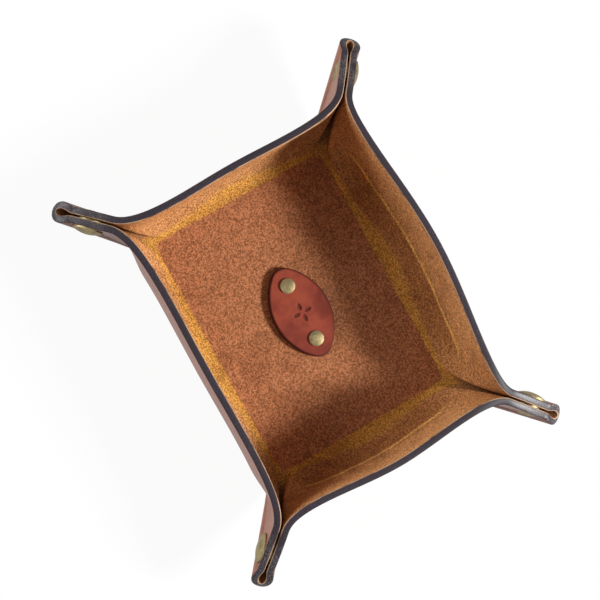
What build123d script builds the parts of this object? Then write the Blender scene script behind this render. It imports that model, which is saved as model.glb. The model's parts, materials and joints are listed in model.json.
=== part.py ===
from build123d import *
import math
import os

# Leather valet tray: one formed sheet with four pinched corners, each held by a ring snap,
# and an oval patch riveted to the floor. Millimetres, +Z up, +X along the tray's length.
# The origin is the middle of the floor's underside.

# Leather sheet
leather_thickness = 3.0
floor_length = 108.8
floor_width = 80.0
floor_corner_radius = 9.0
rim_height = 36.0
tip_height = 22.0

# How far each wall leans out at the middle of its rim; a hand-formed tray leans unevenly
lean_left = 10.5
lean_right = 14.2
lean_front = 9.2
lean_back = 15.3

# How soon the walls turn up from the floor: one gives a quarter of an ellipse, more is fuller
wall_fullness = 2

# Reach of each pinched corner, from the middle of the floor's corner arc to the inside of its fold
reach_front_left = 56.2
reach_back_left = 57.7
reach_back_right = 59.1
reach_front_right = 57.8

# Turn of each pinched corner away from the diagonal, in degrees, towards the short walls
turn_front_left = -0.1
turn_back_left = -3.3
turn_back_right = -3.0
turn_front_right = 0.3

# Shape of a pinched corner
ear_half_gap = 0.45
ear_root = 34.7
ear_sweep = 13.0
short_rim_sweep = 21.0
long_rim_sweep = 30.5
rim_drop_start = 18.7
rim_drop_power = 1.8
loop_half_width = 1.45
loop_length = 6.0
loop_end_length = 2.0
root_start_share = 0.86
fold_ease_share = 0.12
fold_blend_start = 12.7
fold_blend_end = 39.7
pinch_power = 3

# Snap places and the flap that opens at each corner
snap_from_tip = 14.3
snap_above_rest = 23.0
flap_before_snap = 8.2
flap_gap = 0.3
flap_fold_gap = 0.15
overrun = 20.0

# Snap pieces
snap_cap_diameter = 12.5
snap_cap_height = 2.4
snap_cap_edge = 0.8
barrel_diameter = 3.2
barrel_bore = 1.8
barrel_hole_clearance = 0.05
seat_clearance = 0.05
seat_depth = 0.15
flare_diameter = 4.4
flare_thickness = 0.25
pocket_depth = 1.2
pocket_clearance = 0.4
socket_diameter = 10.0
socket_height = 2.3
socket_plate = 0.4
socket_bore = 5.8
socket_edge_radius = 0.5
spring_wire = 0.5
spring_groove_clearance = 0.08
spring_height = 0.7
spring_opening_angle = 50.0
stud_flange_diameter = 9.0
stud_flange = 0.6
stud_neck_diameter = 4.5
stud_head_diameter = 5.0
stud_head_height = 1.45
stud_bulge_height = 0.9
eyelet_diameter = 9.4
eyelet_flange = 0.7
eyelet_dish = 0.3
eyelet_rim_diameter = 4.0
eyelet_rim = 0.2

# Oval patch and its two rivets
patch_length = 40.5
patch_width = 24.8
patch_end_radius = 6.0
patch_thickness = 2.4
patch_bevel = 0.5
rivet_spacing = 24.8
rivet_cap_diameter = 6.3
rivet_cap_height = 0.95
rivet_cap_edge = 0.45
rivet_shank_diameter = 2.8
rivet_hole_clearance = 0.05
rivet_stem_diameter = 1.4
rivet_stem_clearance = 0.6
rivet_base_diameter = 6.0
rivet_base_thickness = 0.7
rivet_recess = 0.9
rivet_recess_clearance = 0.3

# Generic four-petal stamp in the middle of the patch
petal_length = 3.6
petal_width = 1.9
petal_offset = 2.6
stamp_depth = 0.4

# Where along a half wall its cross-sections stand, and the heights at which each is measured
rim_shares = [0, 0.25, 0.5, 0.7, 0.86, 1]
ear_shares = [0.5, 1]
loop_shares = [0.5, 1]
loop_end_shares = [0.5, 0.8, 1]
height_shares = [0, 0.06, 0.14, 0.28, 0.46, 0.64, 0.82, 1]
slope_step_share = 0.001

os.makedirs("parts", exist_ok=True)

corners = {
    "front_left": (-1, -1, reach_front_left, turn_front_left),
    "back_left": (-1, 1, reach_back_left, turn_back_left),
    "back_right": (1, 1, reach_back_right, turn_back_right),
    "front_right": (1, -1, reach_front_right, turn_front_right),
}


def mix(low, high, share):
    return low + (high - low) * share


def smooth(share):
    share = min(max(share, 0), 1)
    return share * share * (3 - 2 * share)


# Half of one wall, from the middle of its rim to the fold of one pinched corner.
# Across is the wall's own outward direction and along runs towards the corner.
class HalfWall:

    def __init__(self, half_across, half_along, lean, sweep, reach, turn):
        self.half_across, self.half_along = half_across, half_along
        self.sweep, self.reach = sweep, reach
        self.angle = math.radians(45 + turn)
        self.ear = Vector(math.cos(self.angle), math.sin(self.angle))
        self.side = Vector(math.sin(self.angle), -math.cos(self.angle))
        self.straight = half_along - floor_corner_radius
        self.corner = Vector(half_across - floor_corner_radius, self.straight)
        self.middle = Vector(half_across + lean, 0)

    # Plan point of the rim's inner edge, for one stage of its run and a share of that stage
    def rim(self, stage, share):
        root = self.corner + self.ear * ear_root + self.side * ear_half_gap
        loop_start = self.reach - loop_length
        if stage == 0:
            pull_1 = self.middle + Vector(0, self.sweep)
            pull_2 = root - self.ear * ear_sweep
            rest = 1 - share
            return (self.middle * rest**3 + pull_1 * (3 * rest**2 * share)
                    + pull_2 * (3 * rest * share**2) + root * share**3)
        if stage == 1:
            return root + self.ear * ((loop_start - ear_root) * share)
        if stage == 2:
            out = mix(loop_start, self.reach - loop_end_length, share)
            off = mix(ear_half_gap, loop_half_width, smooth(share))
        else:
            out = self.reach - loop_end_length * (1 - math.sin(share * math.pi / 2))
            off = loop_half_width * math.cos(share * math.pi / 2)
        return self.corner + self.ear * out + self.side * off

    # Plan point on the floor's outline where the section of that rim point begins
    def start(self, stage, share):
        total = self.straight + floor_corner_radius * self.angle
        if stage == 0:
            run = share * root_start_share * total
        else:
            run = total * mix(root_start_share, 1, (stage - 1 + share) / 3)
        if run <= self.straight:
            return Vector(self.half_across, run)
        turn = (run - self.straight) / floor_corner_radius
        return self.corner + Vector(math.cos(turn), math.sin(turn)) * floor_corner_radius

    # Point of the sheet's inner face: place runs from 0 at the wall's middle to 4 at the fold
    def inner(self, place, up):
        stage = min(int(place), 3)
        share = place - stage
        top, low = self.rim(stage, share), self.start(stage, share)
        out = (top - self.corner).dot(self.ear)
        drop = min(max((out - rim_drop_start) / (self.reach - rim_drop_start), 0), 1)
        top_z = rim_height - (rim_height - tip_height) * drop**rim_drop_power
        fold = smooth((out - fold_blend_start) / (fold_blend_end - fold_blend_start))
        turn = up * math.pi / 2
        eased = math.hypot(up, fold_ease_share) - fold_ease_share
        eased = eased / (math.hypot(1, fold_ease_share) - fold_ease_share)
        swell = 1 - (1 - math.sin(turn)) ** wall_fullness
        rise = mix(1 - math.cos(turn), eased, fold)
        spread = mix(swell, up, fold)
        pinch = mix(swell, 1 - (1 - up) ** pinch_power, fold)
        step = top - low
        plan = low + self.ear * (step.dot(self.ear) * spread)
        plan = plan + self.side * (step.dot(self.side) * pinch)
        return Vector(plan.X, plan.Y, mix(leather_thickness, top_z, rise))

    # Point of the sheet's outer face, one leather thickness out along the inner face's normal
    def outer(self, place, up):
        point = self.inner(place, up)
        if up == 0:
            return point - Vector(0, 0, leather_thickness)
        step = slope_step_share
        if place >= 4:
            along = self.side * -1
        else:
            along = self.inner(min(place + step, 4), up) - self.inner(max(place - step, 0), up)
        if place == 0:
            along = Vector(0, 1)
        climb = self.inner(place, min(up + step, 1)) - self.inner(place, max(up - step, 0))
        return point + along.cross(climb).normalized() * leather_thickness

    def places(self):
        yield from rim_shares
        for stage, shares in ((1, ear_shares), (2, loop_shares), (3, loop_end_shares)):
            for share in shares:
                yield stage + share


# Curve up one face of the sheet at one place along its wall
def smooth_line(face, place, to_world, hand):
    points = [to_world(face(place, up), hand) for up in height_shares]
    first = to_world(face(place, slope_step_share), hand) - points[0]
    last = points[-1] - to_world(face(place, 1 - slope_step_share), hand)
    slopes = [first / slope_step_share, last / slope_step_share]
    return points, Edge.make_spline(points, tangents=slopes, parameters=height_shares, scale=False)


# Closed outlines along a whole wall, from the fold of one corner to the fold of the other
def wall_sections(near, far, to_world):
    stations = [(near, place, -1) for place in reversed(list(near.places()))]
    stations += [(far, place, 1) for place in list(far.places())[1:]]
    for half, place, hand in stations:
        inner, inner_line = smooth_line(half.inner, place, to_world, hand)
        outer, outer_line = smooth_line(half.outer, place, to_world, hand)
        top = Edge.make_line(inner[-1], outer[-1])
        base = Edge.make_line(outer[0], inner[0])
        yield inner[0], Wire([inner_line, top, outer_line, base])


# Sections of the wall across the tray's length, at the left or right end
def end_wall(sign, lean):
    halves = [
        HalfWall(floor_length / 2, floor_width / 2, lean, short_rim_sweep, reach, turn)
        for x, y, reach, turn in sorted(corners.values(), key=lambda item: item[1]) if x == sign
    ]
    world = lambda point, hand: Vector(sign * point.X, hand * point.Y, point.Z)
    return list(wall_sections(*halves, world))


# Sections of the wall along the tray's length, at the front or back
def side_wall(sign, lean):
    halves = [
        HalfWall(floor_width / 2, floor_length / 2, lean, long_rim_sweep, reach, -turn)
        for x, y, reach, turn in sorted(corners.values(), key=lambda item: item[0]) if y == sign
    ]
    world = lambda point, hand: Vector(hand * point.Y, sign * point.X, point.Z)
    return list(wall_sections(*halves, world))


right_wall, left_wall = end_wall(1, lean_right), end_wall(-1, lean_left)
back_wall, front_wall = side_wall(1, lean_back), side_wall(-1, lean_front)
walls = [
    Solid.make_loft([wire for _, wire in sections], ruled=True)
    for sections in (right_wall, left_wall, back_wall, front_wall)
]

# Floor outline, through the foot of every wall section in turn
outline = [foot for foot, _ in right_wall[:-1] + back_wall[:0:-1]]
outline += [foot for foot, _ in left_wall[:0:-1] + front_wall[:-1]]
outline = [Vector(foot.X, foot.Y) for foot in outline]


# Places at one pinched corner: its hinge line, its flap's reach and its snap's frame
class Corner:
    def __init__(self, name):
        sign_x, sign_y, reach, turn = corners[name]
        angle = math.radians(45 + turn)
        centre = Vector(sign_x * (floor_length / 2 - floor_corner_radius),
                        sign_y * (floor_width / 2 - floor_corner_radius))
        self.ear = Vector(sign_x * math.cos(angle), sign_y * math.sin(angle))
        self.side = Vector(-sign_x * math.sin(angle), sign_y * math.cos(angle))
        self.wall = back_wall_solid if sign_y > 0 else front_wall_solid
        half = HalfWall(floor_length / 2, floor_width / 2, 0, short_rim_sweep, reach, turn)
        climb = half.inner(4, 1) - half.inner(4, 1 - slope_step_share)
        slope = math.atan2(climb.Z, math.hypot(climb.X, climb.Y))
        # The flap turns about the bottom of the fold, on the sheet's outside
        self.tip = centre + self.ear * (reach + leather_thickness * math.sin(slope))
        self.tip = self.tip + Vector(0, 0, tip_height - leather_thickness * math.cos(slope))
        self.hinge = self.ear * math.cos(slope) + Vector(0, 0, math.sin(slope))
        self.snap = centre + self.ear * (reach - snap_from_tip) + Vector(0, 0, snap_above_rest)
        foot = self.tip + self.hinge * (self.snap - self.tip).dot(self.hinge)
        self.cut = foot - self.hinge * flap_before_snap
        # The snap's axis points from the fold's plane towards the cap, and its pieces are
        # turned about it from half sections drawn as radius and height
        self.axis = Axis(self.snap, self.side)
        self.across = Plane(self.snap, x_dir=self.ear, z_dir=self.side)
        self.section = Plane(self.snap, x_dir=self.ear, z_dir=self.ear.cross(self.side))

    # Plane of the round seat that the press leaves outside a ply, facing away from the fold
    def seat(self, towards_cap):
        normal = self.side * towards_cap
        return Plane(self.snap + normal * ply_outside, x_dir=self.ear, z_dir=normal)

    # Plane in the fold, with its x along the hinge line from the flap's edge
    def flap_plane(self, gap, height):
        origin = self.cut + self.hinge * gap + self.side * height
        return Plane(origin, x_dir=self.hinge, z_dir=self.side)


back_wall_solid, front_wall_solid = walls[2], walls[3]
places = {name: Corner(name) for name in corners}
ply_inside = ear_half_gap
ply_outside = ear_half_gap + leather_thickness - seat_depth
pocket_floor = ply_inside + pocket_depth
pocket_radius = (socket_diameter + 2 * pocket_clearance) / 2
barrel_hole_radius = barrel_diameter / 2 + barrel_hole_clearance
patch_top = leather_thickness + patch_thickness
rivet_hole_radius = rivet_shank_diameter / 2 + rivet_hole_clearance
recess_radius = rivet_base_diameter / 2 + rivet_recess_clearance
stem_bore_radius = rivet_stem_diameter / 2 + rivet_hole_clearance
socket_mouth = pocket_floor - socket_height
socket_ceiling = pocket_floor - socket_plate
flare_bottom = socket_ceiling - flare_thickness
spring_bottom = socket_mouth + spring_height - spring_wire / 2
spring_top = spring_bottom + spring_wire
groove_radius = socket_bore / 2 + spring_wire + spring_groove_clearance
stud_top = stud_flange + stud_head_height - pocket_floor
rivet_places = {"left": -rivet_spacing / 2, "right": rivet_spacing / 2}


# Formed sheet: floor and four walls, less the four flaps, the snap holes and the rivet holes
with BuildPart() as leather_tray:
    with BuildSketch():
        with BuildLine():
            Polyline(*outline, close=True)
        make_face()
    extrude(amount=leather_thickness)
    add(walls)
    for corner in places.values():
        with Locations(corner.flap_plane(-flap_gap, 0)):
            Box(overrun * 2, overrun * 2, overrun, mode=Mode.SUBTRACT,
                align=(Align.MIN, Align.CENTER, Align.MIN))
        with Locations(corner.across):
            Cylinder(pocket_radius, 2 * pocket_floor, mode=Mode.SUBTRACT)
            Cylinder(barrel_hole_radius, overrun, mode=Mode.SUBTRACT)
        with Locations(corner.seat(-1)):
            Cylinder(eyelet_diameter / 2 + seat_clearance, overrun, mode=Mode.SUBTRACT,
                     align=(Align.CENTER, Align.CENTER, Align.MIN))
    with Locations(*[(x, 0) for x in rivet_places.values()]):
        Cylinder(rivet_hole_radius, overrun, mode=Mode.SUBTRACT)
        Cylinder(recess_radius, 2 * rivet_recess, mode=Mode.SUBTRACT)
leather_tray.part.label = "leather_tray"
export_step(leather_tray.part, "parts/leather_tray.step")


for name, corner in places.items():
    # Flap: the end of the long wall's ply, which peels open about the fold
    with BuildPart() as flap:
        add(corner.wall)
        with Locations(corner.flap_plane(0, flap_fold_gap)):
            Box(overrun * 2, overrun * 2, overrun, mode=Mode.INTERSECT,
                align=(Align.MIN, Align.CENTER, Align.MIN))
        with Locations(corner.across):
            Cylinder(pocket_radius, 2 * pocket_floor, mode=Mode.SUBTRACT)
            Cylinder(barrel_hole_radius, overrun, mode=Mode.SUBTRACT)
        with Locations(corner.seat(1)):
            Cylinder(snap_cap_diameter / 2 + seat_clearance, overrun, mode=Mode.SUBTRACT,
                     align=(Align.CENTER, Align.CENTER, Align.MIN))
    flap.part.label = name + "_flap"
    export_step(flap.part, "parts/" + name + "_flap.step")

    # Cap: domed head outside the flap, with a hollow barrel flared over the socket's plate
    with BuildPart() as cap:
        with BuildSketch(corner.section):
            with BuildLine():
                Polyline(
                    (0, ply_outside + snap_cap_height),
                    (0, ply_outside),
                    (barrel_bore / 2, ply_outside),
                    (barrel_bore / 2, flare_bottom),
                    (flare_diameter / 2, flare_bottom),
                    (flare_diameter / 2, socket_ceiling),
                    (barrel_diameter / 2, socket_ceiling),
                    (barrel_diameter / 2, ply_outside),
                    (snap_cap_diameter / 2, ply_outside),
                    (snap_cap_diameter / 2, ply_outside + snap_cap_edge),
                )
                TangentArc((0, ply_outside + snap_cap_height),
                           (snap_cap_diameter / 2, ply_outside + snap_cap_edge), tangent=(1, 0))
            make_face()
        revolve(axis=corner.axis)
    cap.part.label = name + "_snap_cap"
    export_step(cap.part, "parts/" + name + "_snap_cap.step")

    # Socket: cup let into the flap, with an inner groove for its ring spring
    with BuildPart() as socket:
        with BuildSketch(corner.section):
            with BuildLine():
                Polyline(
                    (socket_diameter / 2 - socket_edge_radius, socket_mouth),
                    (socket_bore / 2, socket_mouth),
                    (socket_bore / 2, spring_bottom),
                    (groove_radius, spring_bottom),
                    (groove_radius, spring_top + 2 * spring_groove_clearance),
                    (socket_bore / 2, spring_top + 2 * spring_groove_clearance),
                    (socket_bore / 2, socket_ceiling),
                    (barrel_hole_radius, socket_ceiling),
                    (barrel_hole_radius, pocket_floor),
                    (socket_diameter / 2, pocket_floor),
                    (socket_diameter / 2, socket_mouth + socket_edge_radius),
                )
                TangentArc((socket_diameter / 2, socket_mouth + socket_edge_radius),
                           (socket_diameter / 2 - socket_edge_radius, socket_mouth),
                           tangent=(0, -1))
            make_face()
        revolve(axis=corner.axis)
    socket.part.label = name + "_snap_socket"
    export_step(socket.part, "parts/" + name + "_snap_socket.step")

    # Ring spring: open ring of square wire lying in the socket's groove
    with BuildPart() as spring:
        with BuildSketch(corner.section):
            with BuildLine():
                Polyline(
                    (socket_bore / 2, spring_bottom),
                    (socket_bore / 2 + spring_wire, spring_bottom),
                    (socket_bore / 2 + spring_wire, spring_top),
                    (socket_bore / 2, spring_top),
                    close=True,
                )
            make_face()
        revolve(axis=corner.axis, revolution_arc=360 - spring_opening_angle)
    spring.part.label = name + "_snap_spring"
    export_step(spring.part, "parts/" + name + "_snap_spring.step")

    # Stud: flange let into the fixed ply, with a necked head that the ring spring grips
    with BuildPart() as stud:
        with BuildSketch(corner.section):
            with BuildLine():
                Polyline(
                    (stud_neck_diameter / 2, stud_top),
                    (barrel_hole_radius, stud_top),
                    (barrel_hole_radius, -pocket_floor),
                    (stud_flange_diameter / 2, -pocket_floor),
                    (stud_flange_diameter / 2, stud_flange - pocket_floor),
                    (stud_neck_diameter / 2, stud_flange - pocket_floor),
                    (stud_neck_diameter / 2, stud_top - stud_bulge_height),
                )
                ThreePointArc((stud_neck_diameter / 2, stud_top - stud_bulge_height),
                              (stud_head_diameter / 2, stud_top - stud_bulge_height / 2),
                              (stud_neck_diameter / 2, stud_top))
            make_face()
        revolve(axis=corner.axis)
    stud.part.label = name + "_snap_stud"
    export_step(stud.part, "parts/" + name + "_snap_stud.step")

    # Eyelet: dished back on the outside of the fixed ply, with its barrel rolled over the stud
    with BuildPart() as eyelet:
        with BuildSketch(corner.section):
            with BuildLine():
                Polyline(
                    (eyelet_diameter / 2, -ply_outside),
                    (barrel_diameter / 2, -ply_outside),
                    (barrel_diameter / 2, stud_top),
                    (eyelet_rim_diameter / 2, stud_top),
                    (eyelet_rim_diameter / 2, stud_top + eyelet_rim),
                    (barrel_bore / 2, stud_top + eyelet_rim),
                    (barrel_bore / 2, eyelet_dish - ply_outside - eyelet_flange),
                    (barrel_diameter / 2, -ply_outside - eyelet_flange),
                )
                TangentArc((barrel_diameter / 2, -ply_outside - eyelet_flange),
                           (eyelet_diameter / 2, -ply_outside), tangent=(1, 0))
            make_face()
        revolve(axis=corner.axis)
    eyelet.part.label = name + "_snap_eyelet"
    export_step(eyelet.part, "parts/" + name + "_snap_eyelet.step")


# Oval patch: two long side arcs meet two tight end arcs without a corner
half_long, half_wide = patch_length / 2, patch_width / 2
end_centre = half_long - patch_end_radius
side_radius = (end_centre**2 + half_wide**2 - patch_end_radius**2) / (2 * (half_wide - patch_end_radius))
side_centre = side_radius - half_wide
meet = Vector(end_centre, side_centre).normalized() * patch_end_radius + Vector(end_centre, 0)
with BuildPart() as oval_patch:
    with BuildSketch(Plane.XY.offset(leather_thickness)):
        with BuildLine():
            ThreePointArc((-meet.X, meet.Y), (0, half_wide), (meet.X, meet.Y))
            ThreePointArc((meet.X, meet.Y), (half_long, 0), (meet.X, -meet.Y))
            ThreePointArc((meet.X, -meet.Y), (0, -half_wide), (-meet.X, -meet.Y))
            ThreePointArc((-meet.X, -meet.Y), (-half_long, 0), (-meet.X, meet.Y))
        make_face()
    extrude(amount=patch_thickness)
    chamfer(oval_patch.faces().sort_by(Axis.Z)[-1].edges(), patch_bevel)
    with BuildSketch(Plane.XY.offset(patch_top)):
        with PolarLocations(petal_offset, 4):
            Ellipse(petal_length / 2, petal_width / 2)
    extrude(amount=-stamp_depth, mode=Mode.SUBTRACT)
    with Locations(*[(x, 0, leather_thickness) for x in rivet_places.values()]):
        Cylinder(rivet_hole_radius, overrun, mode=Mode.SUBTRACT)
oval_patch.part.label = "oval_patch"
export_step(oval_patch.part, "parts/oval_patch.step")


for name, place in rivet_places.items():
    section = Plane((place, 0, 0), x_dir=(1, 0, 0), z_dir=(0, -1, 0))
    axis = Axis((place, 0, 0), (0, 0, 1))

    # Rivet cap: domed head on the patch, with a hollow shank down through both leathers
    with BuildPart() as rivet_cap:
        with BuildSketch(section):
            with BuildLine():
                Polyline(
                    (0, patch_top + rivet_cap_height),
                    (0, patch_top),
                    (stem_bore_radius, patch_top),
                    (stem_bore_radius, rivet_recess),
                    (rivet_shank_diameter / 2, rivet_recess),
                    (rivet_shank_diameter / 2, patch_top),
                    (rivet_cap_diameter / 2, patch_top),
                    (rivet_cap_diameter / 2, patch_top + rivet_cap_edge),
                )
                TangentArc((0, patch_top + rivet_cap_height),
                           (rivet_cap_diameter / 2, patch_top + rivet_cap_edge), tangent=(1, 0))
            make_face()
        revolve(axis=axis)
    rivet_cap.part.label = name + "_patch_rivet_cap"
    export_step(rivet_cap.part, "parts/" + name + "_patch_rivet_cap.step")

    # Rivet base: disc in a recess under the floor, with its stem up inside the shank
    with BuildPart() as rivet_base:
        with BuildSketch(section):
            with BuildLine():
                Polyline(
                    (0, rivet_recess - rivet_base_thickness),
                    (rivet_base_diameter / 2, rivet_recess - rivet_base_thickness),
                    (rivet_base_diameter / 2, rivet_recess),
                    (rivet_stem_diameter / 2, rivet_recess),
                    (rivet_stem_diameter / 2, patch_top - rivet_stem_clearance),
                    (0, patch_top - rivet_stem_clearance),
                    close=True,
                )
            make_face()
        revolve(axis=axis)
    rivet_base.part.label = name + "_patch_rivet_base"
    export_step(rivet_base.part, "parts/" + name + "_patch_rivet_base.step")
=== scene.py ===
import json
import math
import bmesh
import bpy
from mathutils import Matrix, Vector


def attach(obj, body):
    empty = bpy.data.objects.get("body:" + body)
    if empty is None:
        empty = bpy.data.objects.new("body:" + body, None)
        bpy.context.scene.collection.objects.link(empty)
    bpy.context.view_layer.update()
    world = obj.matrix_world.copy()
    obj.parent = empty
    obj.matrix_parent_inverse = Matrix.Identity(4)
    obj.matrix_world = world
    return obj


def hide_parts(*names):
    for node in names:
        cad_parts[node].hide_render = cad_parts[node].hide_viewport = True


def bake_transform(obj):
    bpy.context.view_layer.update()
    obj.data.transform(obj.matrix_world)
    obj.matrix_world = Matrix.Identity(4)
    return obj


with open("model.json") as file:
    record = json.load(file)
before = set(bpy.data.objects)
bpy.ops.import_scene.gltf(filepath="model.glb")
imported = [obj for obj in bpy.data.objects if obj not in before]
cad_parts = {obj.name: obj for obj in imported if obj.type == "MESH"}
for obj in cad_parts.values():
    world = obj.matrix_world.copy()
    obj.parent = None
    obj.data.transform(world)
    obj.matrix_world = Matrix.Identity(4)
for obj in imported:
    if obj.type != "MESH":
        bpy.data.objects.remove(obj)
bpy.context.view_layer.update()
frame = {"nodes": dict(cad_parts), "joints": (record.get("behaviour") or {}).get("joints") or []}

nodes = frame["nodes"]
mm = 0.001

# The formed sheet, in millimetres
sheet = {
    "thickness": 3.0,
    "floor": (108.8, 80.0),
    "floorCorner": 9.0,
    "rimHeight": 36.0,
    "tipHeight": 22.0,
    "leans": {"right": 14.2, "left": 10.5, "back": 15.3, "front": 9.2},
    "fullness": 2,
    "corners": {  # signs of x and y, reach of the fold, turn off the diagonal
        "front_left": (-1, -1, 56.2, -0.1),
        "back_left": (-1, 1, 57.7, -3.3),
        "back_right": (1, 1, 59.1, -3.0),
        "front_right": (1, -1, 57.8, 0.3),
    },
    "halfGap": 0.45,
    "earRoot": 34.7,
    "earSweep": 13.0,
    "shortSweep": 21.0,
    "longSweep": 30.5,
    "dropStart": 18.7,
    "dropPower": 1.8,
    "loopHalfWidth": 1.45,
    "loopLength": 6.0,
    "loopEnd": 2.0,
    "rootShare": 0.86,
    "foldEase": 0.12,
    "foldBlend": (12.7, 39.7),
    "pinchPower": 3,
    "steps": (40, 14, 8, 9),  # columns in each stage from a wall's middle to its fold
    "rows": 26,
    "rowPower": 1.15,  # above one, rows stand closer together near the floor
    "edgeSteps": 8,
    "edgeRound": 0.55,
    "edgePower": 0.55,  # one gives a round edge, less a squarer one
    "pinchEase": 0.3,  # stretch of a half wall over which the pinch's marks begin: the painted shade inside the ear and the scuffs on its edge
    "paintedLightEnd": (0.45, 0.3),  # where on a half wall its painted light and shade begin to fade, and over what stretch
    "floorRings": 14,
    "unfoldRounds": 100,
    "unfoldCosine": 0.4,  # a face that turns further from its way than this is loose
    "flapPlace": 0.45,  # where on the long walls' halves the opening flaps begin
    "snapFromTip": 14.3,
    "snapHeight": 23.0,
    "flapBeforeSnap": 8.2,
    "flapLead": 14.0,  # leather before a flap, measured back along the hinge from the flap's end
}


def mix(low, high, share):
    return low + (high - low) * share


def smooth(share):
    share = min(max(share, 0), 1)
    return share * share * (3 - 2 * share)


# Half of a wall, in its own directions: x outwards, y towards the corner
class HalfWall:
    slopeStep = 0.001  # how far apart two points of the surface are that give its slope

    def __init__(self, sizes, lean, sweep, reach, turn):
        self.halfX, halfY = sizes[0] / 2, sizes[1] / 2
        self.sweep, self.reach = sweep, reach
        self.angle = math.radians(45 + turn)
        self.ear = Vector((math.cos(self.angle), math.sin(self.angle), 0))
        self.side = Vector((math.sin(self.angle), -math.cos(self.angle), 0))
        self.straight = halfY - sheet["floorCorner"]
        self.corner = Vector((self.halfX - sheet["floorCorner"], self.straight, 0))
        self.middle = Vector((self.halfX + lean, 0, 0))

    def rim(self, stage, share):
        root = self.corner + self.ear * sheet["earRoot"] + self.side * sheet["halfGap"]
        loopStart = self.reach - sheet["loopLength"]
        if stage == 0:
            pull1 = self.middle + Vector((0, self.sweep, 0))
            pull2 = root - self.ear * sheet["earSweep"]
            rest = 1 - share
            return (self.middle * rest**3 + pull1 * (3 * rest**2 * share)
                    + pull2 * (3 * rest * share**2) + root * share**3)
        if stage == 1:
            return root + self.ear * ((loopStart - sheet["earRoot"]) * share)
        if stage == 2:
            out = mix(loopStart, self.reach - sheet["loopEnd"], share)
            off = mix(sheet["halfGap"], sheet["loopHalfWidth"], smooth(share))
        else:
            out = self.reach - sheet["loopEnd"] * (1 - math.sin(share * math.pi / 2))
            off = sheet["loopHalfWidth"] * math.cos(share * math.pi / 2)
        return self.corner + self.ear * out + self.side * off

    def foot(self, stage, share):
        total = self.straight + sheet["floorCorner"] * self.angle
        if stage == 0:
            run = share * sheet["rootShare"] * total
        else:
            run = total * mix(sheet["rootShare"], 1, (stage - 1 + share) / 3)
        if run <= self.straight:
            return Vector((self.halfX, run, 0))
        turn = (run - self.straight) / sheet["floorCorner"]
        return self.corner + Vector((math.cos(turn), math.sin(turn), 0)) * sheet["floorCorner"]

    def inner(self, place, up):
        stage = min(int(place), 3)
        top, low = self.rim(stage, place - stage), self.foot(stage, place - stage)
        out = (top - self.corner).dot(self.ear)
        drop = min(max((out - sheet["dropStart"]) / (self.reach - sheet["dropStart"]), 0), 1)
        topZ = mix(sheet["rimHeight"], sheet["tipHeight"], drop ** sheet["dropPower"])
        near, far = sheet["foldBlend"]
        fold = smooth((out - near) / (far - near))
        ease = sheet["foldEase"]
        eased = (math.hypot(up, ease) - ease) / (math.hypot(1, ease) - ease)
        swell = 1 - (1 - math.sin(up * math.pi / 2)) ** sheet["fullness"]
        rise = mix(1 - math.cos(up * math.pi / 2), eased, fold)
        spread = mix(swell, up, fold)
        pinch = mix(swell, 1 - (1 - up) ** sheet["pinchPower"], fold)
        step = top - low
        plan = low + self.ear * (step.dot(self.ear) * spread)
        plan = plan + self.side * (step.dot(self.side) * pinch)
        return Vector((plan.x, plan.y, mix(sheet["thickness"], topZ, rise)))

    def climb(self, place, up):
        step = self.slopeStep
        rise = self.inner(place, min(up + step, 1)) - self.inner(place, max(up - step, 0))
        return rise.normalized()

    def outward(self, place, up):
        if up == 0:
            return Vector((0, 0, -1))
        step = self.slopeStep
        if place >= 4:
            along = -self.side
        elif place == 0:
            along = Vector((0, 1, 0))
        else:
            along = self.inner(min(place + step, 4), up) - self.inner(max(place - step, 0), up)
        return along.cross(self.climb(place, up)).normalized()


# How far a point of the floor lies outside its creases, negative inside, with square corners
def pastCrease(point):
    x, y = abs(point.x) - sheet["floor"][0] / 2, abs(point.y) - sheet["floor"][1] / 2
    return max(x, y)


# One column of the sheet's section, from its foot up the inside, over the edge and down again.
# Each point has its place, its side and its marks: the way climbed from the floor's crease, the
# pinch, the share of painted light and shade on the back and right walls, and the height. With each
# goes the way in which the leather faces there
def leatherColumn(half, place, toWorld, paintedLightWall):
    rows, edgeSteps = sheet["rows"], sheet["edgeSteps"]
    thick, rounding, power = sheet["thickness"], sheet["edgeRound"], sheet["edgePower"]
    inside, outside, facing = [], [], []
    last = half.inner(place, 0)
    climbed = pastCrease(toWorld(last) / mm)
    pinch = smooth((place - 1) / sheet["pinchEase"])
    # How much of the back and right walls' painted light and shade a column carries, fading towards
    # the ear
    fadeStart, fadeLength = sheet["paintedLightEnd"]
    worn = paintedLightWall * (1 - smooth((place - fadeStart) / fadeLength))
    for row in range(rows + 1):
        up = (row / rows) ** sheet["rowPower"]
        point = half.inner(place, up)
        climbed += (point - last).length
        last = point
        away = half.outward(place, up)
        marks = (climbed, pinch * smooth(up * 2), worn, point.z)
        inside.append((toWorld(point), 0, *marks))
        outside.append((toWorld(point + away * thick), 1, *marks))
        facing.append(toWorld(away).normalized())
    rim, away, rise = half.inner(place, 1), half.outward(place, 1), half.climb(place, 1)
    edge = []
    for step in range(1, edgeSteps):
        turn = math.pi * step / edgeSteps
        facing.append(toWorld(rise * math.sin(turn) - away * math.cos(turn)).normalized())
        across = 0.5 - 0.5 * math.copysign(abs(math.cos(turn)) ** power, math.cos(turn))
        height = rounding * (math.sin(turn) ** power - 1)
        edge.append((toWorld(rim + away * thick * across + rise * height), across, *marks))
    inside[-1] = (toWorld(rim - rise * rounding), 0, *marks)
    outside[-1] = (toWorld(rim + away * thick - rise * rounding), 1, *marks)
    facing = [-way for way in facing[:rows + 1]] + facing[rows + 1:] + facing[rows::-1]
    return {"place": place, "skin": inside + edge + outside[::-1], "facing": facing}


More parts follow.
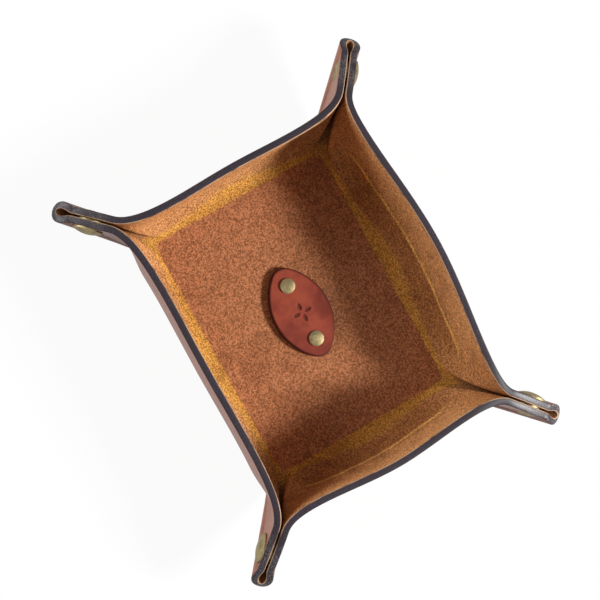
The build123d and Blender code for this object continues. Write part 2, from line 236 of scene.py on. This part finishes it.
# Where a tight bend would fold the outside over itself, its points are drawn apart again: a
# point of a face that looks the wrong way goes to the middle of its four neighbours
def unfold(columns):
    skins = [column["skin"] for column in columns]
    facing = [column["facing"] for column in columns]
    last, rim = len(skins[0]) - 1, sheet["rows"]

    def normal(n, k):
        return (skins[n + 1][k + 1][0] - skins[n][k][0]).cross(
            skins[n][k + 1][0] - skins[n + 1][k][0])

    halfway = last - rim // 2
    hand = math.copysign(1, normal(0, halfway).dot(facing[0][halfway]))
    for _ in range(sheet["unfoldRounds"]):
        loose = set()
        for n in range(len(skins) - 1):
            for k in range(rim, last):
                face, way = normal(n, k), (facing[n][k] + facing[n + 1][k + 1]) / 2
                if face.dot(way) * hand < sheet["unfoldCosine"] * face.length:
                    loose |= {(i, j) for i in range(n - 1, n + 3) for j in range(k - 1, k + 3)}
        moved = {(n, k): (skins[n - 1][k][0] + skins[n + 1][k][0]
                          + skins[n][k - 1][0] + skins[n][k + 1][0]) / 4
                 for n, k in loose if 0 < n < len(skins) - 1 and rim < k < last}
        if not moved:
            break
        for (n, k), place in moved.items():
            skins[n][k] = (place, *skins[n][k][1:])


def wallPlaces():
    places = [0.0]
    for stage, count in enumerate(sheet["steps"]):
        places += [stage + (step + 1) / count for step in range(count)]
    return places


# Columns of a whole wall, from one corner's fold to the next
def wallColumns(name, sizes, sweep, ends, toWorld):
    columns = []
    for end, hand in ((ends[0], -1), (ends[1], 1)):
        reach, turn = sheet["corners"][end][2:]
        turn = turn if name in ("left", "right") else -turn
        half = HalfWall(sizes, sheet["leans"][name], sweep, reach, turn)
        places = wallPlaces()
        if name in ("front", "back"):  # a column stands exactly where each flap begins
            places = sorted(set(places) | {sheet["flapPlace"]})
        # The back and right walls, whose insides face away from the key, carry painted light and
        # shade
        paintedLightWall = 1 if name in ("back", "right") else 0
        made = [leatherColumn(half, place, lambda p, h=hand: toWorld(p, h), paintedLightWall)
                for place in places]
        unfold(made)
        for column in made:
            column["corner"] = end
        columns += made[::-1] if hand < 0 else made[1:]
    return columns


length, width = sheet["floor"]
rightWall = wallColumns(
    "right", (length, width), sheet["shortSweep"], ("front_right", "back_right"),
    lambda p, hand: Vector((p.x, hand * p.y, p.z)) * mm)
leftWall = wallColumns(
    "left", (length, width), sheet["shortSweep"], ("front_left", "back_left"),
    lambda p, hand: Vector((-p.x, hand * p.y, p.z)) * mm)
backWall = wallColumns(
    "back", (width, length), sheet["longSweep"], ("back_left", "back_right"),
    lambda p, hand: Vector((hand * p.y, p.x, p.z)) * mm)
frontWall = wallColumns(
    "front", (width, length), sheet["longSweep"], ("front_left", "front_right"),
    lambda p, hand: Vector((hand * p.y, -p.x, p.z)) * mm)
print("leather: sections measured")


# A mesh of the sheet, with what the material needs to know at each point
class LeatherMesh:
    places = 7  # decimals of a metre to which two points count as one

    def __init__(self):
        self.points, self.faces, self.marks, self.known = [], [], [], {}

    def point(self, place, *marks):
        key = (*(round(part, self.places) for part in place), marks[0] > 0.5)
        if key not in self.known:
            self.known[key] = len(self.points)
            self.points.append(place)
            self.marks.append(marks)
        return self.known[key]

    def strip(self, columns):  # skin between neighbouring columns
        for left, right in zip(columns, columns[1:]):
            a = [self.point(*p) for p in left["skin"]]
            b = [self.point(*p) for p in right["skin"]]
            for row in range(len(a) - 1):
                self.faces.append((a[row], b[row], b[row + 1], a[row + 1]))

    def cap(self, column):  # closes a cut end across the leather's thickness
        skin, half = column["skin"], len(column["skin"]) // 2
        start = len(self.points)
        for place, _, *marks in skin:
            self.points.append(place)
            self.marks.append((0.5, *marks))
        last = len(skin) - 1
        for row in range(half):
            quad = (start + row, start + row + 1, start + last - row - 1, start + last - row)
            self.faces.append(quad if quad[1] != quad[2] else quad[:2] + quad[3:])

    def floor(self, ring, z, side):  # rings drawn in to the middle
        steps = sheet["floorRings"]
        rings = []
        for step in range(steps + 1):
            share = 1 - step / steps
            places = [Vector((p.x * share, p.y * share, z)) for p in ring]
            rings.append([self.point(p, side, pastCrease(p / mm), 0, 0, 0) for p in places])
        for outer, inner in zip(rings, rings[1:]):
            for i in range(len(ring)):
                j = (i + 1) % len(ring)
                quad = (outer[i], outer[j], inner[j], inner[i])
                self.faces.append(tuple(dict.fromkeys(quad)))

    def build(self, name):
        mesh = bpy.data.meshes.new(name)
        mesh.from_pydata(self.points, [], self.faces)
        for place, label in enumerate(("side", "climb", "pinch", "worn", "height")):
            layer = mesh.attributes.new(label, "FLOAT", "POINT")
            layer.data.foreach_set("value", [float(marks[place]) for marks in self.marks])
        mesh.validate()
        shell = bmesh.new()
        shell.from_mesh(mesh)
        bmesh.ops.recalc_face_normals(shell, faces=shell.faces)
        shell.to_mesh(mesh)
        shell.free()
        for face in mesh.polygons:
            face.use_smooth = True
        piece = bpy.data.objects.new(name, mesh)
        bpy.context.scene.collection.objects.link(piece)
        return piece


# Half a long wall splits into the part that stays with the tray and the flap
def fixedColumns(columns):
    return [column for column in columns if column["place"] <= sheet["flapPlace"]]


def flapColumns(columns, corner):
    return [column for column in columns
            if column["corner"] == corner and column["place"] >= sheet["flapPlace"]]


trayMesh = LeatherMesh()
trayMesh.strip(rightWall)
trayMesh.strip(leftWall[::-1])
trayMesh.strip(fixedColumns(backWall)[::-1])
trayMesh.strip(fixedColumns(frontWall))
for wall in (rightWall, leftWall):
    trayMesh.cap(wall[0])
    trayMesh.cap(wall[-1])
ring = rightWall[:-1] + backWall[:0:-1] + leftWall[:0:-1] + frontWall[:-1]
ring = [column["skin"][0][0] for column in ring]
trayMesh.floor(ring, sheet["thickness"] * mm, 0)
trayMesh.floor(ring, 0, 1)
leather = trayMesh.build("formed_sheet")
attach(leather, "tray")
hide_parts("leather_tray")
print("leather: formed sheet made")

flaps = []
for corner, (signX, signY, reach, turn) in sheet["corners"].items():
    columns = flapColumns(backWall if signY > 0 else frontWall, corner)
    columns.sort(key=lambda column: column["place"] * signX * -signY)
    flapMesh = LeatherMesh()
    flapMesh.strip(columns)
    flapMesh.cap(columns[0] if columns[0]["place"] == 4 else columns[-1])
    flap = flapMesh.build(corner + "_flap_leather")
    joint = next(j for j in frame["joints"] if j["child"] == corner + "_flap_body")
    hinge = Vector(joint["axis"])
    hinge = hinge if hinge.z > 0 else -hinge
    angle = math.radians(45 + turn)
    centre = Vector((signX * (length / 2 - sheet["floorCorner"]),
                     signY * (width / 2 - sheet["floorCorner"]), 0))
    ear = Vector((signX * math.cos(angle), signY * math.sin(angle), 0))
    snap = centre + ear * (reach - sheet["snapFromTip"]) + Vector((0, 0, sheet["snapHeight"]))
    pivot = Vector(joint["pos_m"])
    end = pivot + hinge * ((snap * mm - pivot).dot(hinge) - sheet["flapBeforeSnap"] * mm)
    start = end - hinge * sheet["flapLead"] * mm
    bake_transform(flap)
    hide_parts(corner + "_flap")
    flaps.append(flap)
print("leather: flaps made")


# A socket that can be used in sums
class Value:
    def __init__(self, socket):
        self.socket = socket

    def maths(self, operation, *others):
        tree = self.socket.id_data
        node = tree.nodes.new("ShaderNodeMath")
        node.operation = operation
        for slot, entry in zip(node.inputs, others):
            if isinstance(entry, Value):
                tree.links.new(entry.socket, slot)
            else:
                slot.default_value = entry
        return Value(node.outputs[0])

    def __add__(self, other):
        return self.maths("ADD", self, other)

    def __radd__(self, other):
        return self.maths("ADD", other, self)

    def __sub__(self, other):
        return self.maths("SUBTRACT", self, other)

    def __rsub__(self, other):
        return self.maths("SUBTRACT", other, self)

    def __mul__(self, other):
        return self.maths("MULTIPLY", self, other)

    def __rmul__(self, other):
        return self.maths("MULTIPLY", other, self)

    def step(self, low, high):  # 0 below low, 1 above high, smooth between
        tree = self.socket.id_data
        node = tree.nodes.new("ShaderNodeMapRange")
        node.interpolation_type = "SMOOTHSTEP"
        tree.links.new(self.socket, node.inputs["Value"])
        node.inputs["From Min"].default_value = low
        node.inputs["From Max"].default_value = high
        return Value(node.outputs["Result"])


# One material's node tree
class Finish:
    def __init__(self, name, **fixed):
        self.material = bpy.data.materials.new(name)
        self.material.use_nodes = True
        self.tree = self.material.node_tree
        self.shader = self.tree.nodes["Principled BSDF"]
        for socket, amount in fixed.items():
            self.shader.inputs[socket.replace("_", " ")].default_value = amount
        self.place = self.node("ShaderNodeTexCoord", {}, {}, "Object")

    def node(self, kind, settings, values, output=0):
        node = self.tree.nodes.new(kind)
        for setting, choice in settings.items():
            if setting == "stops":
                ramp = node.color_ramp.elements
                while len(ramp) < len(choice):
                    ramp.new(1)
                for stop, (position, colour) in zip(ramp, choice):
                    stop.position, stop.color = position, colour
            else:
                setattr(node, setting, choice)
        for slot, entry in values.items():
            if isinstance(entry, Value):
                self.tree.links.new(entry.socket, node.inputs[slot])
            else:
                node.inputs[slot].default_value = entry
        return Value(node.outputs[output])

    def noise(self, scale, detail, rough):
        return self.node("ShaderNodeTexNoise", {}, {
            "Vector": self.place, "Scale": scale, "Detail": detail, "Roughness": rough})

    def cells(self, scale):  # distance to the edges of irregular cells, for pores
        return self.node("ShaderNodeTexVoronoi", {"feature": "DISTANCE_TO_EDGE"},
                         {"Vector": self.place, "Scale": scale, "Randomness": 1.0}, "Distance")

    def blend(self, amount, low, high, kind="MIX"):  # colours, on the Mix node's colour sockets
        return self.node("ShaderNodeMix", {"data_type": "RGBA", "blend_type": kind},
                         {0: amount, 6: low, 7: high}, 2)

    def known(self, label):  # a value kept at the mesh's points
        return self.node("ShaderNodeAttribute", {"attribute_name": label}, {}, "Fac")

    def bump(self, height, strength, distance):
        return self.node("ShaderNodeBump", {},
                         {"Height": height, "Strength": strength, "Distance": distance})

    def feed(self, **links):
        for socket, value in links.items():
            self.tree.links.new(value.socket, self.shader.inputs[socket.replace("_", " ")])


def rgb(red, green, blue):  # a colour as a picture shows it, from 0 to 255
    def linear(part):
        part /= 255
        return part / 12.92 if part <= 0.04045 else ((part + 0.055) / 1.055) ** 2.4
    return (linear(red), linear(green), linear(blue), 1)


# Suede inside, smooth grain outside, burnished black edge. Widths and heights in millimetres,
# a noise as its scale, detail and roughness
leatherLook = {
    "floor": rgb(174, 112, 75),
    "wall": rgb(187, 131, 82),
    # Painted fill light: the back and right walls lighter above the heights in the next entry
    "wallPaintedLight": rgb(212, 154, 100),
    "paintedLightFrom": (9.0, 16.0),
    "crease": rgb(200, 143, 66),
    "creaseWidth": (4.4, 8.25),
    # Dark flecks of the walls, and painted shade in the bend of the back and right walls between
    # the heights in the next two entries
    "bend": rgb(146, 88, 46),
    "bendShadeStart": (5.5, 9.0),
    "bendShadeTop": (8.5, 12.0),
    # Painted highlight: a light line along the ridge of the back and right walls, at the height and
    # width in the next two entries
    "ridgeHighlight": rgb(236, 180, 100),
    "ridgeHighlightHeight": 10.5,
    "ridgeHighlightWidth": 0.9,
    "fleckDark": (0.38, 0.36, 0.33, 1),
    "fleckLight": (1.62, 1.68, 1.72, 1),
    "blotch": rgb(112, 60, 36),
    # Painted shade inside the ears' closed fold
    "pinched": rgb(70, 42, 27),
    "grain": rgb(136, 86, 66),
    "grainDark": rgb(110, 64, 47),
    "edge": rgb(38, 30, 37),
    # Lighter edge patches: partly rubbed wear, partly the edge's grey-blue sheen painted in
    "edgeWornAndSheen": rgb(88, 78, 88),
    "scuff": rgb(158, 150, 148),
    "rawLine": rgb(204, 166, 134),
    "fibre": (2800, 3, 0.65),
    "speckle": (1500, 6, 0.78),
    "grit": (1150, 4, 0.7),
    "mottle": (90, 5, 0.65),
    "cloud": (22, 3, 0.55),
    "pores": 900,
    "bump": (0.6, 0.0005),
}


# Floor and walls of the suede side: golden crease, flecks and blotches, with painted light and
# shade on the back and right walls (a lighter upper wall, a darker bend, a light line along a
# ridge) and painted shade inside the ears
def suedeColour(finish, noises, marks):
    look = leatherLook
    fibre, speckle, grit, mottle, cloud = noises
    climb, pinch, paintedLightWall, above = marks
    fleck = finish.blend((speckle * 0.85 + fibre * 0.15).step(0.44, 0.57),
                         look["fleckDark"], look["fleckLight"])
    wobble = climb + (mottle - 0.5) * 5
    golden = (1 - wobble.step(*look["creaseWidth"])) * 0.9
    # Painted shade in the bend of the back and right walls, between two heights
    bendShade = wobble.step(*look["bendShadeStart"]) * (1 - above.step(*look["bendShadeTop"])) * paintedLightWall * 0.5
    # Painted fill light: the back and right walls lighter above a height
    wearAndPaintedLight = paintedLightWall * above.step(*look["paintedLightFrom"])
    wall = finish.blend(wearAndPaintedLight, look["wall"], look["wallPaintedLight"])
    wall = finish.blend((1 - grit.step(0.36, 0.52)) * 0.6, wall, look["bend"])
    wall = finish.blend(golden, wall, look["crease"])
    wall = finish.blend(bendShade, wall, look["bend"])
    # Painted highlight: a light line along the ridge of the back and right walls
    off = above + (mottle - 0.5) * 2 - look["ridgeHighlightHeight"]
    line = (1 - (off * off).step(0.0, look["ridgeHighlightWidth"])) * cloud.step(0.25, 0.5) * paintedLightWall * 0.95
    wall = finish.blend(line, wall, look["ridgeHighlight"])
    onWall = (climb + (mottle - 0.5) * 1.6).step(-0.7, 0.5)
    suede = finish.blend(onWall, look["floor"], wall)
    suede = finish.blend((mottle * cloud).step(0.26, 0.4) * 0.3, suede, look["blotch"])
    # Painted shade inside the ears' closed fold
    suede = finish.blend(pinch * 0.6, suede, look["pinched"])
    return finish.blend(0.8 - pinch * 0.4, suede, fleck, "MULTIPLY")


# Burnished cut edge with lighter patches, partly rubbed and partly its grey-blue sheen painted in,
# scuffed on the ears, with a raw line at its inner side
def edgeColour(finish, side, fibre, mottle, cloud, pinch):
    look = leatherLook
    # Lighter patches, partly rubbed wear and partly the edge's grey-blue sheen painted in
    wearAndPaintedLight = fibre.step(0.5, 0.75) * cloud.step(0.3, 0.7)
    edge = finish.blend(wearAndPaintedLight, look["edge"], look["edgeWornAndSheen"])
    scuffs = fibre.step(0.5, 0.62) * pinch * mottle.step(0.4, 0.55) * 0.5
    edge = finish.blend(scuffs, edge, look["scuff"])
    raw = (1 - side.step(0.05, 0.16)) * side.step(0.0, 0.01) * mottle.step(0.3, 0.55)
    return finish.blend(raw * 0.85, edge, look["rawLine"])


def leatherFinish():
    look = leatherLook
    finish = Finish("formedLeather", Specular_IOR_Level=0.15, Coat_Roughness=0.35)
    side, climb, pinch, paintedLightWall, above = (
        finish.known(name) for name in ("side", "climb", "pinch", "worn", "height"))
    fibre, speckle, grit, mottle, cloud = (
        finish.noise(*look[name]) for name in ("fibre", "speckle", "grit", "mottle", "cloud"))
    suede = suedeColour(finish, (fibre, speckle, grit, mottle, cloud),
                        (climb, pinch, paintedLightWall, above))
    edge = edgeColour(finish, side, fibre, mottle, cloud, pinch)
    pores = finish.cells(look["pores"])
    grain = finish.blend(mottle.step(0.4, 0.7) * 0.5, look["grain"], look["grainDark"])
    onEdge, onGrain = side.step(0.0, 0.02), side.step(0.97, 1.0)
    colour = finish.blend(onGrain, finish.blend(onEdge, suede, edge), grain)
    rough = 0.92 - onEdge * 0.36 - onGrain * 0.08 + (fibre - 0.5) * 0.12
    height = (fibre * 0.6 + speckle * 0.8) * (1 - onEdge)
    height = height + fibre * 0.16 * onEdge + pores.step(0.0, 0.2) * 0.15 * onGrain
    finish.feed(Base_Color=colour, Roughness=rough, Coat_Weight=onEdge * 0.25,
                Normal=finish.bump(height, *look["bump"]))
    return finish.material


def dress(piece, material):
    piece.data.materials.clear()
    piece.data.materials.append(material)


formedLeather = leatherFinish()
for piece in [leather] + flaps:
    dress(piece, formedLeather)
print("leather: suede, grain and edge finished")


# Dull brass of the snaps and rivets, and the springs' steel
brassLook = {
    "bright": rgb(148, 133, 96),
    "dull": rgb(118, 105, 76),
    "tarnish": rgb(72, 63, 47),
    "cloud": (260, 4, 0.6),
    "scuff": (1400, 3, 0.6),
    "bump": (0.12, 0.0002),
}
steelLook = {
    "dark": rgb(150, 150, 152),
    "light": rgb(190, 190, 192),
    "draw": (900, 2, 0.5),
}


def brassFinish():
    look = brassLook
    finish = Finish("antiqueBrass", Metallic=1.0)
    cloud, scuff = finish.noise(*look["cloud"]), finish.noise(*look["scuff"])
    colour = finish.blend(cloud.step(0.35, 0.65), look["dull"], look["bright"])
    colour = finish.blend(scuff.step(0.56, 0.72) * 0.4, colour, look["tarnish"])
    rough = 0.44 + cloud * 0.16 + scuff.step(0.5, 0.7) * 0.1
    finish.feed(Base_Color=colour, Roughness=rough, Normal=finish.bump(scuff, *look["bump"]))
    return finish.material


def steelFinish():
    look = steelLook
    finish = Finish("springSteel", Metallic=1.0)
    draw = finish.noise(*look["draw"])
    finish.feed(Base_Color=finish.blend(draw, look["dark"], look["light"]),
                Roughness=0.25 + draw * 0.15)
    return finish.material


antiqueBrass, springSteel = brassFinish(), steelFinish()
for name, node in nodes.items():
    if "spring" in name:
        dress(node, springSteel)
    elif "snap" in name or "rivet" in name:
        dress(node, antiqueBrass)
print("snaps and rivets: finished")


# Oval patch: crowned, with a rolled edge and a four-petal stamp
patch = {
    "length": 40.5,
    "width": 24.8,
    "endRadius": 6.0,
    "bottom": 3.0,
    "thickness": 2.4,
    "crown": 0.25,
    "edgeRound": 0.8,
    "edgeShare": 0.98,  # how much of the edge's rounding its own rings take
    "footInset": 0.2,
    "footHeight": 0.25,
    "petals": 4,
    "petal": (3.6, 1.9),
    "petalOut": 2.6,
    "petalSlope": 0.35,
    "stampDepth": 0.4,
    "around": 160,
    "edgeSteps": 6,
    "rings": 90,
}


def ovalPoint(turn):  # outline point in the direction of turn, from the oval's own arcs
    halfLong, halfWide, endRadius = patch["length"] / 2, patch["width"] / 2, patch["endRadius"]
    endX = halfLong - endRadius
    sideRadius = (endX**2 + halfWide**2 - endRadius**2) / (2 * (halfWide - endRadius))
    sideY = sideRadius - halfWide
    meet = math.atan2(sideY, endX)
    meetTurn = math.atan2(endRadius * math.sin(meet), endX + endRadius * math.cos(meet))
    along, across = abs(math.cos(turn)), abs(math.sin(turn))
    if math.atan2(across, along) < meetTurn:
        out = endX * along + math.sqrt(max(endRadius**2 - (endX * across)**2, 0))
    else:
        out = -sideY * across + math.sqrt(sideRadius**2 - (sideY * along)**2)
    return Vector((out * math.cos(turn), out * math.sin(turn), 0))


def stampAt(x, y):  # how deep the stamp is pressed at a place, from 0 to 1
    deep = 0
    for petal in range(patch["petals"]):
        turn = 2 * math.pi * petal / patch["petals"]
        u = x * math.cos(turn) + y * math.sin(turn) - patch["petalOut"]
        v = -x * math.sin(turn) + y * math.cos(turn)
        inside = 1 - math.hypot(u / (patch["petal"][0] / 2), v / (patch["petal"][1] / 2))
        deep = max(deep, smooth(inside / patch["petalSlope"]))
    return deep


def makePatch():
    rounding, top = patch["edgeRound"], patch["bottom"] + patch["thickness"]
    shoulder = top - patch["crown"] - rounding
    outline = [ovalPoint(2 * math.pi * i / patch["around"]) for i in range(patch["around"])]
    points, faces, rings = [], [], []
    marks = {"rim": [], "side": [], "pressed": []}

    def addRing(z, side, inset=0, share=None):  # drawn in by an inset, or by a share on the top
        ring = []
        for p in outline:
            q = p * (1 - inset / p.length if share is None else share)
            pressed, height = stampAt(q.x, q.y), z
            if share is not None:
                height -= patch["crown"] * (q.length / p.length)**2
                height -= patch["stampDepth"] * pressed
            ring.append(len(points))
            points.append(Vector((q.x, q.y, height)) * mm)
            for label, mark in (("rim", p.length - q.length), ("side", side), ("pressed", pressed)):
                marks[label].append(mark)
        rings.append(ring)

    addRing(patch["bottom"], 1, inset=patch["footInset"])
    addRing(patch["bottom"] + patch["footHeight"], 1)
    addRing(shoulder, 1)
    for step in range(1, patch["edgeSteps"] + 1):
        done = step / patch["edgeSteps"]
        turn = math.pi / 2 * done
        addRing(shoulder + rounding * math.sin(turn), 1 - done,
                inset=rounding * (1 - math.cos(turn)) * patch["edgeShare"])
    topShare = 1 - rounding / (patch["length"] / 2)
    for step in range(1, patch["rings"]):
        addRing(top, 0, share=(1 - step / patch["rings"]) * topShare)
    for outer, inner in zip(rings, rings[1:]):
        for i in range(len(outline)):
            j = (i + 1) % len(outline)
            faces.append((outer[i], outer[j], inner[j], inner[i]))
    faces.append(tuple(rings[-1]))
    faces.append(tuple(rings[0][::-1]))
    mesh = bpy.data.meshes.new("riveted_patch")
    mesh.from_pydata(points, [], faces)
    for label, values in marks.items():
        layer = mesh.attributes.new(label, "FLOAT", "POINT")
        layer.data.foreach_set("value", values)
    for face in mesh.polygons:
        face.use_smooth = len(face.vertices) == 4
    piece = bpy.data.objects.new("riveted_patch", mesh)
    bpy.context.scene.collection.objects.link(piece)
    return piece


patchLook = {
    "face": rgb(151, 69, 50),
    "faceDark": rgb(119, 50, 38),
    "edge": rgb(62, 26, 22),
    "cloud": (90, 3, 0.6),
    "fine": (1300, 3, 0.6),
    "pores": 1500,
    "bump": (0.25, 0.0002),
}


def patchFinish():
    look = patchLook
    finish = Finish("patchLeather", Specular_IOR_Level=0.15)
    rim, side, pressed = (finish.known(name) for name in ("rim", "side", "pressed"))
    cloud, fine = finish.noise(*look["cloud"]), finish.noise(*look["fine"])
    pores = finish.cells(look["pores"])
    colour = finish.blend(cloud.step(0.35, 0.7), look["face"], look["faceDark"])
    dark = 1 - (rim + (cloud - 0.5) * 0.5).step(0.3, 1.3)
    for mask in (dark * 0.75, side.step(0.3, 0.8), pressed * 0.6):
        colour = finish.blend(mask, colour, look["edge"])
    height = pores.step(0.0, 0.25) * 0.4 + fine * 0.3
    finish.feed(Base_Color=colour, Roughness=0.56 + cloud * 0.12 + fine * 0.06,
                Normal=finish.bump(height, *look["bump"]))
    return finish.material


patchPiece = makePatch()
dress(patchPiece, patchFinish())
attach(patchPiece, "tray")
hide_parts("oval_patch")
print("patch: made")


# White to the camera, in reflections and through glass, from a light path's rays
def seenDirectly(node):
    camera, glossy, clear = (node(name) for name in (
        "Is Camera Ray", "Is Glossy Ray", "Is Transmission Ray"))
    together = camera + glossy + clear
    return together.maths("MINIMUM", together, 1.0)


# White floor under the tray, which glows a little less than white so that it keeps the shadow
stage = {
    "size": 6.0,
    "drop": 0.0004,
    "white": (0.9, 0.9, 0.9, 1),
    "rough": 0.9,
    "glow": 0.93,
    "ambient": 0.18,
}
floorMesh = bpy.data.meshes.new("floor")
half = stage["size"] / 2
floorMesh.from_pydata([(-half, -half, 0), (half, -half, 0), (half, half, 0), (-half, half, 0)],
                      [], [(0, 1, 2, 3)])
studioFloor = bpy.data.objects.new("studioFloor", floorMesh)
studioFloor.location.z = -stage["drop"]
bpy.context.scene.collection.objects.link(studioFloor)
floorFinish = Finish("whiteFloor", Roughness=stage["rough"], Base_Color=stage["white"])
seen = seenDirectly(lambda name: floorFinish.node("ShaderNodeLightPath", {}, {}, name))
glow = floorFinish.node("ShaderNodeEmission", {}, {"Color": (1, 1, 1, 1), "Strength": 1.0})
plain = Value(floorFinish.shader.outputs[0])
mixed = floorFinish.node("ShaderNodeMixShader", {}, {0: seen * stage["glow"], 1: plain, 2: glow})
output = floorFinish.tree.nodes["Material Output"]
floorFinish.tree.links.new(mixed.socket, output.inputs["Surface"])
dress(studioFloor, floorFinish.material)

world = bpy.data.worlds.new("studio")
bpy.context.scene.world = world
world.use_nodes = True
ray = world.node_tree.nodes.new("ShaderNodeLightPath")
seen = seenDirectly(lambda name: Value(ray.outputs[name]))
level = seen + (1 - seen) * stage["ambient"]
world.node_tree.links.new(level.socket, world.node_tree.nodes["Background"].inputs["Color"])

# Camera above the tray, leaning a little to one side, as in the photograph
view = {
    "distance": 900.0,
    "tiltY": 10.46,
    "tiltX": 4.30,
    "turn": 60.0,  # the tray's length runs down to the right in the picture
    "roll": 0.33,
    "pixelsPerMm": 2.4,
    "frame": 600,
    "middle": (299.5, 312.5),  # where the origin stands in the picture
    "sensor": 36,
    "clip": 0.01,
}
tiltY, tiltX, turn, roll = (math.radians(view[name]) for name in ("tiltY", "tiltX", "turn", "roll"))
towards = Vector((-math.sin(tiltX) * math.cos(tiltY), -math.sin(tiltY),
                  math.cos(tiltX) * math.cos(tiltY)))
acrossX = Vector((math.cos(tiltX), 0, math.sin(tiltX)))
acrossY = towards.cross(acrossX)
rightward = acrossX * math.cos(turn + roll) + acrossY * math.sin(turn + roll)
upward = towards.cross(rightward)
turned = Matrix((rightward, upward, towards)).transposed()
cameraData = bpy.data.cameras.new("camera")
camera = bpy.data.objects.new("camera", cameraData)
bpy.context.scene.collection.objects.link(camera)
camera.matrix_world = Matrix.Translation(towards * view["distance"] * mm) @ turned.to_4x4()
cameraData.sensor_width = view["sensor"]
cameraData.lens = view["sensor"] * view["pixelsPerMm"] * view["distance"] / view["frame"]
cameraData.shift_x = (view["frame"] / 2 - view["middle"][0]) / view["frame"]
cameraData.shift_y = (view["middle"][1] - view["frame"] / 2) / view["frame"]
cameraData.clip_start = view["clip"]
bpy.context.scene.camera = camera

# Key from the picture's right, low over the long wall, and a weak fill, placed along the
# picture's own right and up
lamps = {
    "key": {"right": 1.04, "up": -0.19, "height": 0.63, "away": 1.1, "size": 0.2, "power": 18.9},
    "fill": {"right": -1.0, "up": 0.4, "height": 0.3, "away": 1.2, "size": 0.6, "power": 12},
}
flatRight = Vector((math.cos(turn), math.sin(turn), 0))
flatUp = Vector((-math.sin(turn), math.cos(turn), 0))
for name, lamp in lamps.items():
    lightData = bpy.data.lights.new(name, "AREA")
    lightData.size, lightData.energy = lamp["size"], lamp["power"]
    light = bpy.data.objects.new(name, lightData)
    bpy.context.scene.collection.objects.link(light)
    way = flatRight * lamp["right"] + flatUp * lamp["up"] + Vector((0, 0, lamp["height"]))
    light.location = way.normalized() * lamp["away"]
    light.rotation_euler = way.to_track_quat("Z", "Y").to_euler()
bpy.context.scene.view_settings.view_transform = "Standard"
print("stage: camera and lamps set")
